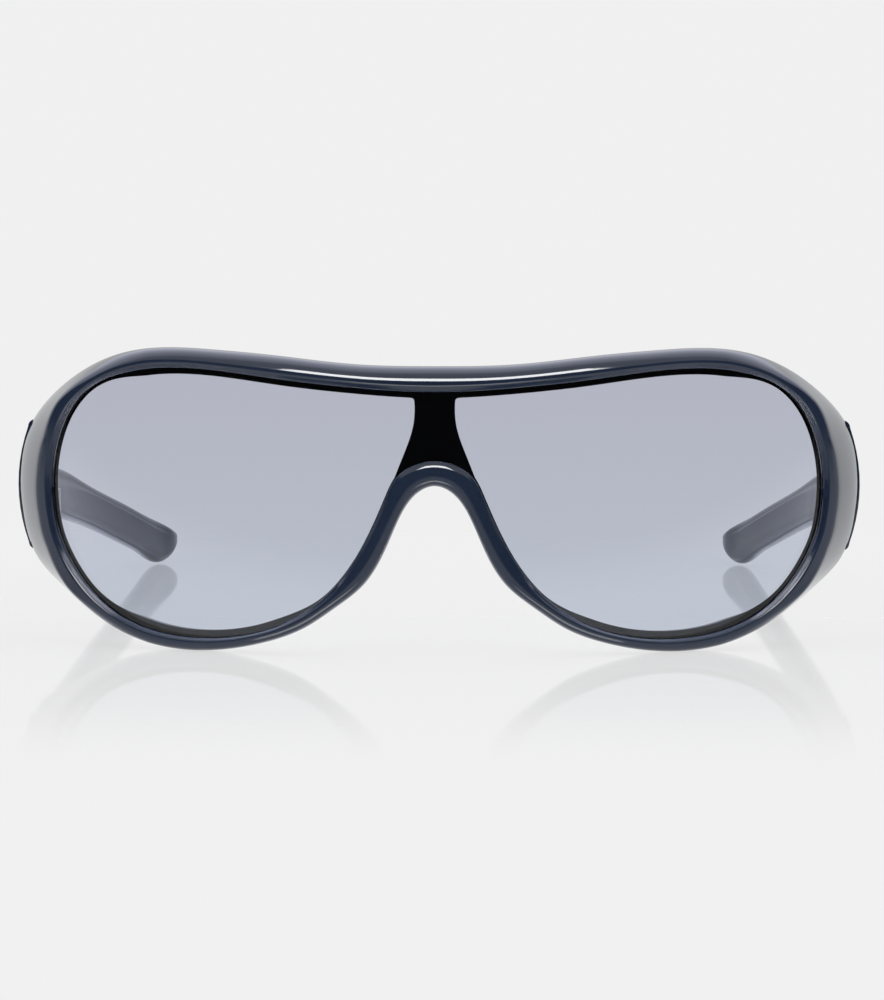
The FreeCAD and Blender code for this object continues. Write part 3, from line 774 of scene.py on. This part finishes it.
def temple_points(side):
    end_y = BUTT_Y + TEMPLE_LENGTH
    straight = np.linspace(BUTT_Y - BUTT_OVERRUN, end_y - TIP_RADIUS, TEMPLE_SECTIONS)
    turn = np.linspace(0.0, TIP_TURN, TIP_SECTIONS)[1:]
    along = np.concatenate([straight, end_y - TIP_RADIUS + TIP_RADIUS * np.sin(turn)])
    marks = TEMPLE_STATION_SHARES[:, 0]
    rows = open_spline(marks, TEMPLE_STATION_SHARES[:, 1:], (along - BUTT_Y) / TEMPLE_LENGTH)
    outer_x = rows[:, 0] * HALF_WIDTH - TEMPLE_SKIN
    level = rows[:, 1] * FRONT_HEIGHT
    # the tip is round in height and in thickness
    past = np.clip((along - end_y) / TIP_RADIUS + 1.0, 0.0, 1.0)
    closing = np.sqrt(1 - past ** 2)
    half_height = rows[:, 2] * FRONT_HEIGHT / 2 * closing
    full_thickness = rows[:, 3] * TEMPLE_THICKNESS
    middle = outer_x - full_thickness / 2
    thickness = full_thickness * closing
    edge = np.minimum(rows[:, 4] * thickness, half_height * EDGE_LIMIT)
    face = half_height - edge
    crown = face ** 2 / (2 * CROWN_RADIUS)
    outer_edge = thickness / 2 - crown
    inner_edge = -thickness / 2
    centre = (outer_edge + inner_edge) / 2
    reach = (outer_edge - inner_edge) / 2
    # above the crease the inner face leans outwards
    crease = np.minimum(half_height * rows[:, 5], face)
    lean = 2 * reach * LEAN_SHARE * np.clip(1 - crease / np.maximum(face, 1e-6), 0.0, 1.0)
    section = []
    for share in np.linspace(-1.0, 1.0, FACE_STEPS + 1)[:-1]:
        section.append((outer_edge + crown * (1 - share ** 2), face * share))
    for turn in np.linspace(0.0, math.pi / 2, EDGE_STEPS + 1)[:-1]:
        section.append((centre + reach * math.cos(turn), face + edge * math.sin(turn)))
    for turn in np.linspace(math.pi / 2, math.pi, EDGE_STEPS + 1)[:-1]:
        section.append((centre + (reach - lean) * math.cos(turn), face + edge * math.sin(turn)))
    for share in (0.0, 0.3, 0.6, 0.95):
        section.append((inner_edge + lean * (1 - share), mixed(face, crease, share)))
    for share in (0.05, 0.3, 0.55, 0.8):
        section.append((inner_edge, mixed(crease, -face, share)))
    for turn in np.linspace(math.pi, 2 * math.pi, 2 * EDGE_STEPS + 1)[:-1]:
        section.append((centre + reach * math.cos(turn), -face + edge * math.sin(turn)))
    points = [np.stack([side * (middle + x), along, level + z], axis=-1) for x, z in section]
    return np.stack(points, axis=1)


for side, word in ((1, "right"), (-1, "left")):
    temple_grid = temple_points(side)
    count, size = temple_grid.shape[:2]
    faces = grid_faces(count, size, False)
    last = (count - 1) * size
    faces.append(tuple(range(last, last + size)))
    temple = new_piece("temple_arm_" + word, temple_grid.reshape(-1, 3), faces)
    tidy_mesh(temple)
    cut_end(temple, BUTT_Y, False)
    carve_hinge(temple, side)
    tidy_mesh(temple)
    put(temple, word + "_temple", "temple_" + word, temple_navy)

# Hinge screws, turned, with a driver slot
TURN_STEPS = 48
SCREW_SHARP_DEGREES = 30.0
PIN_CHAMFER = 0.15
HEAD_CHAMFER = 0.06
HEAD_ROUND = ((0.0, 0.2), (0.08, 0.07), (0.25, 0.0))
SLOT_WIDTH = 0.32
SLOT_DEPTH = 0.3
SLOT_REACH = 2.0
SLOT_RISE = 1.0


def screw_profile(foot, head, top):
    profile = [
        (0.0, foot), (PIN_RADIUS - PIN_CHAMFER, foot), (PIN_RADIUS, foot + PIN_CHAMFER), (PIN_RADIUS, head),
        (PIN_HEAD_RADIUS - HEAD_CHAMFER, head), (PIN_HEAD_RADIUS, head + HEAD_CHAMFER),
    ]
    profile += [(PIN_HEAD_RADIUS - inset, top - drop) for inset, drop in HEAD_ROUND]
    return profile + [(0.0, top)]


def screw_piece(word, place, top, profile):
    turns = np.linspace(0.0, 2 * math.pi, TURN_STEPS + 1)[:-1]
    points = [
        (place[0] + radius * math.cos(turn), place[1] + radius * math.sin(turn), up)
        for turn in turns for radius, up in profile
    ]
    # the profile starts and ends on the axis, so nothing joins its ends
    faces = [face for face in grid_faces(TURN_STEPS, len(profile), True) if abs(face[0] - face[3]) == 1]
    screw = new_piece("slotted_screw_" + word, points, faces)
    tidy_mesh(screw, SCREW_SHARP_DEGREES)
    middle = np.array([place[0], place[1], top])
    slot_low = middle - np.array([SLOT_WIDTH / 2, SLOT_REACH, SLOT_DEPTH])
    slot_high = middle + np.array([SLOT_WIDTH / 2, SLOT_REACH, SLOT_RISE])
    carve(screw, box_piece("slot", slot_low, slot_high))
    tidy_mesh(screw, SCREW_SHARP_DEGREES)
    return screw


for side, word in ((1, "right"), (-1, "left")):
    foot = HINGE[2] - HINGE_HEIGHT / 2
    head = foot + HINGE_HEIGHT
    top = head + PIN_HEAD_HEIGHT
    screw = screw_piece(word, (side * HINGE[0], HINGE[1]), top, screw_profile(foot, head, top))
    put(screw, "front", "hinge_screw_" + word, hinge_metal)

# Solids that show as they are, the hinges' with soft edges
CORE_NODES = ("temple_core_right", "temple_core_left")
HINGE_NODES = (
    "front_leaf_right", "front_leaf_left", "front_leaf_rivets", "temple_leaf_right", "temple_leaf_left",
    "temple_leaf_rivet_right", "temple_leaf_rivet_left",
)
FLAT_ANGLE = math.radians(1.0)
EDGE_WIDTH = 0.08
EDGE_ANGLE = math.radians(40.0)
for name in CORE_NODES:
    dress(nodes[name], core_metal)
for name in HINGE_NODES:
    dress(nodes[name], hinge_metal)
    flat = nodes[name].modifiers.new("flat", "DECIMATE")
    flat.decimate_type = "DISSOLVE"
    flat.angle_limit = FLAT_ANGLE
    edges = nodes[name].modifiers.new("edges", "BEVEL")
    edges.width = EDGE_WIDTH * MM
    edges.segments = 2
    edges.limit_method = "ANGLE"
    edges.angle_limit = EDGE_ANGLE

# Floor: a pale light table that mirrors the object close by and ends softly in front of it.
# Shaders work in metres, so the limits of its changes are metres too.
TABLE_REACH = 12000
TABLE_FRONT = -240
TABLE_END = (TABLE_FRONT * MM, -0.12)
TABLE_WHITE = (1.0, 1.0, 1.0, 1.0)
TABLE_COVER = (0.13, 0.13, 0.13, 1.0)
TABLE_GLOW = 0.735
GLOSS_ROUGHNESS = 0.05
NEAR_GLOSS = 0.17
NEAR_GLOSS_DEPTHS = (-0.215, -0.095)
FAR_GLOSS = 0.2
FAR_GLOSS_DEPTHS = (-0.07, 0.03)
GLOSS_ACROSS = (0.17, 0.09)
GLOSS_BACK = (0.16, 0.09)


def light_table():
    material, tree, plain = new_material("floor_pale")
    tree.nodes.remove(plain)
    place = add(tree, "ShaderNodeTexCoord").outputs["Object"]
    depth = axis_of(tree, place, "Y")
    aside = calculate(tree, "ABSOLUTE", axis_of(tree, place, "X"))
    cover = add(tree, "ShaderNodeBsdfDiffuse", {"Color": TABLE_COVER})
    glow = add(tree, "ShaderNodeEmission", {"Color": TABLE_WHITE, "Strength": TABLE_GLOW})
    pane = add(tree, "ShaderNodeAddShader", {0: cover.outputs["BSDF"], 1: glow.outputs["Emission"]})
    gloss = add(tree, "ShaderNodeBsdfGlossy", {"Color": TABLE_WHITE, "Roughness": GLOSS_ROUGHNESS})
    near_gloss = fade(tree, depth, NEAR_GLOSS_DEPTHS, NEAR_GLOSS)
    far_gloss = fade(tree, depth, FAR_GLOSS_DEPTHS, FAR_GLOSS)
    close = calculate(tree, "MULTIPLY", fade(tree, aside, GLOSS_ACROSS), fade(tree, depth, GLOSS_BACK))
    mirror_share = calculate(tree, "MULTIPLY", calculate(tree, "ADD", near_gloss, far_gloss), close)
    sheen = add(tree, "ShaderNodeMixShader", {
        0: mirror_share, 1: pane.outputs["Shader"], 2: gloss.outputs["BSDF"],
    })
    open_air = add(tree, "ShaderNodeBsdfTransparent")
    ending = add(tree, "ShaderNodeMixShader", {
        0: fade(tree, depth, TABLE_END), 1: open_air.outputs["BSDF"], 2: sheen.outputs["Shader"],
    })
    tree.links.new(ending.outputs["Shader"], tree.nodes["Material Output"].inputs["Surface"])
    return material


floor = new_piece("floor", [
    (-TABLE_REACH, TABLE_FRONT, 0), (TABLE_REACH, TABLE_FRONT, 0),
    (TABLE_REACH, TABLE_REACH, 0), (-TABLE_REACH, TABLE_REACH, 0),
], [(0, 1, 2, 3)])
floor.data.materials.append(light_table())

# Studio: light from above and all round. What shines mirrors the pale background, a dark room in front,
# a long soft box above it and a brighter sky behind. Bearings count from the front, heights from the ground,
# both in degrees.
BACKGROUND = 0.879
ALL_ROUND = (-190.0, 190.0)
LIGHT = 0.98
TOP_LIGHT = 0.25
TOP_HEIGHTS = (58.0, 95.0)
TOP_SOFTNESS = 10.0
FRONT_BEARINGS = (-100.0, 100.0)
ROOM_TONE = 0.02
ROOM_HEIGHTS = (-95.0, 36.0)
ROOM_SOFTNESS = 5.0
BOX_LIGHT = 20.0
BOX_BEARINGS = (-26.0, 26.0)
BOX_HEIGHTS = (38.0, 61.0)
BOX_SOFTNESS = 2.0
BEHIND_LIGHT = 0.55
BEHIND_HEIGHTS = (18.0, 74.0)
BEHIND_SOFTNESS = 4.0
BEHIND_TINT = (0.97, 0.98, 1.14)
PLAIN_TINT = (1.0, 1.0, 1.0)


def within(tree, value, limits, softness):
    # 1 between two values, falling softly to 0 outside
    low, high = limits
    rise = fade(tree, value, (low - softness, low + softness))
    fall = fade(tree, value, (high + softness, high - softness))
    return calculate(tree, "MULTIPLY", rise, fall)


def chosen(tree, share, first, second):
    return add(tree, "ShaderNodeMix", {0: share, 2: first, 3: second}, data_type="FLOAT").outputs[0]


def studio():
    world = bpy.data.worlds.new("studio")
    world.use_nodes = True
    tree = world.node_tree
    tree.nodes.clear()
    way = add(tree, "ShaderNodeTexCoord").outputs["Generated"]
    height = calculate(tree, "ARCSINE", axis_of(tree, way, "Z"))
    height = calculate(tree, "MULTIPLY", height, 180 / math.pi)
    forward = calculate(tree, "MULTIPLY", axis_of(tree, way, "Y"), -1.0)
    bearing = calculate(tree, "ARCTAN2", axis_of(tree, way, "X"), forward)
    bearing = calculate(tree, "MULTIPLY", bearing, 180 / math.pi)

    def patch(bearings, heights, softness, strength):
        broad = within(tree, bearing, bearings, softness)
        spot = calculate(tree, "MULTIPLY", broad, within(tree, height, heights, softness))
        return calculate(tree, "MULTIPLY", spot, strength)

    lighting = calculate(tree, "ADD", patch(ALL_ROUND, TOP_HEIGHTS, TOP_SOFTNESS, TOP_LIGHT), LIGHT)
    room = patch(FRONT_BEARINGS, ROOM_HEIGHTS, ROOM_SOFTNESS, ROOM_TONE - BACKGROUND)
    soft_box = patch(BOX_BEARINGS, BOX_HEIGHTS, BOX_SOFTNESS, BOX_LIGHT)
    band = within(tree, height, BEHIND_HEIGHTS, BEHIND_SOFTNESS)
    behind = calculate(
        tree, "SUBTRACT", band, patch(FRONT_BEARINGS, BEHIND_HEIGHTS, BEHIND_SOFTNESS, 1.0))
    mirrored = calculate(tree, "ADD", calculate(tree, "ADD", room, BACKGROUND), soft_box)
    mirrored = calculate(tree, "ADD", mirrored, calculate(tree, "MULTIPLY", behind, BEHIND_LIGHT))
    rays = add(tree, "ShaderNodeLightPath")
    shining = calculate(tree, "MAXIMUM", rays.outputs["Is Glossy Ray"], rays.outputs["Is Transmission Ray"])
    shade = chosen(tree, shining, lighting, mirrored)
    shade = chosen(tree, rays.outputs["Is Camera Ray"], shade, BACKGROUND)
    tone = blend_colours(tree, calculate(tree, "MULTIPLY", behind, shining), PLAIN_TINT, BEHIND_TINT)
    sky = add(tree, "ShaderNodeBackground", {"Color": tone, "Strength": shade})
    tree.links.new(sky.outputs["Background"], add(tree, "ShaderNodeOutputWorld").inputs["Surface"])
    return world


bpy.context.scene.world = studio()

# Camera
FOCUS_PIXELS = 5723.1
IMAGE_HEIGHT = 1000.0
SENSOR = 36.0
ELEVATION = math.radians(5.83)
TURN = math.radians(1.06)
DISTANCE = 1.0
TARGET = Vector((0.61, -39.35, 23.26)) * MM
level_reach = math.cos(ELEVATION)
aim = Vector((math.sin(TURN) * level_reach, -math.cos(TURN) * level_reach, math.sin(ELEVATION)))
lens_data = bpy.data.cameras.new("camera")
lens_data.sensor_width = SENSOR
lens_data.lens = SENSOR * FOCUS_PIXELS / IMAGE_HEIGHT
camera = bpy.data.objects.new("camera", lens_data)
bpy.context.scene.collection.objects.link(camera)
camera.location = TARGET + aim * DISTANCE
camera.rotation_euler = aim.to_track_quat("Z", "Y").to_euler()
bpy.context.scene.camera = camera
bpy.context.scene.view_settings.view_transform = "Standard"
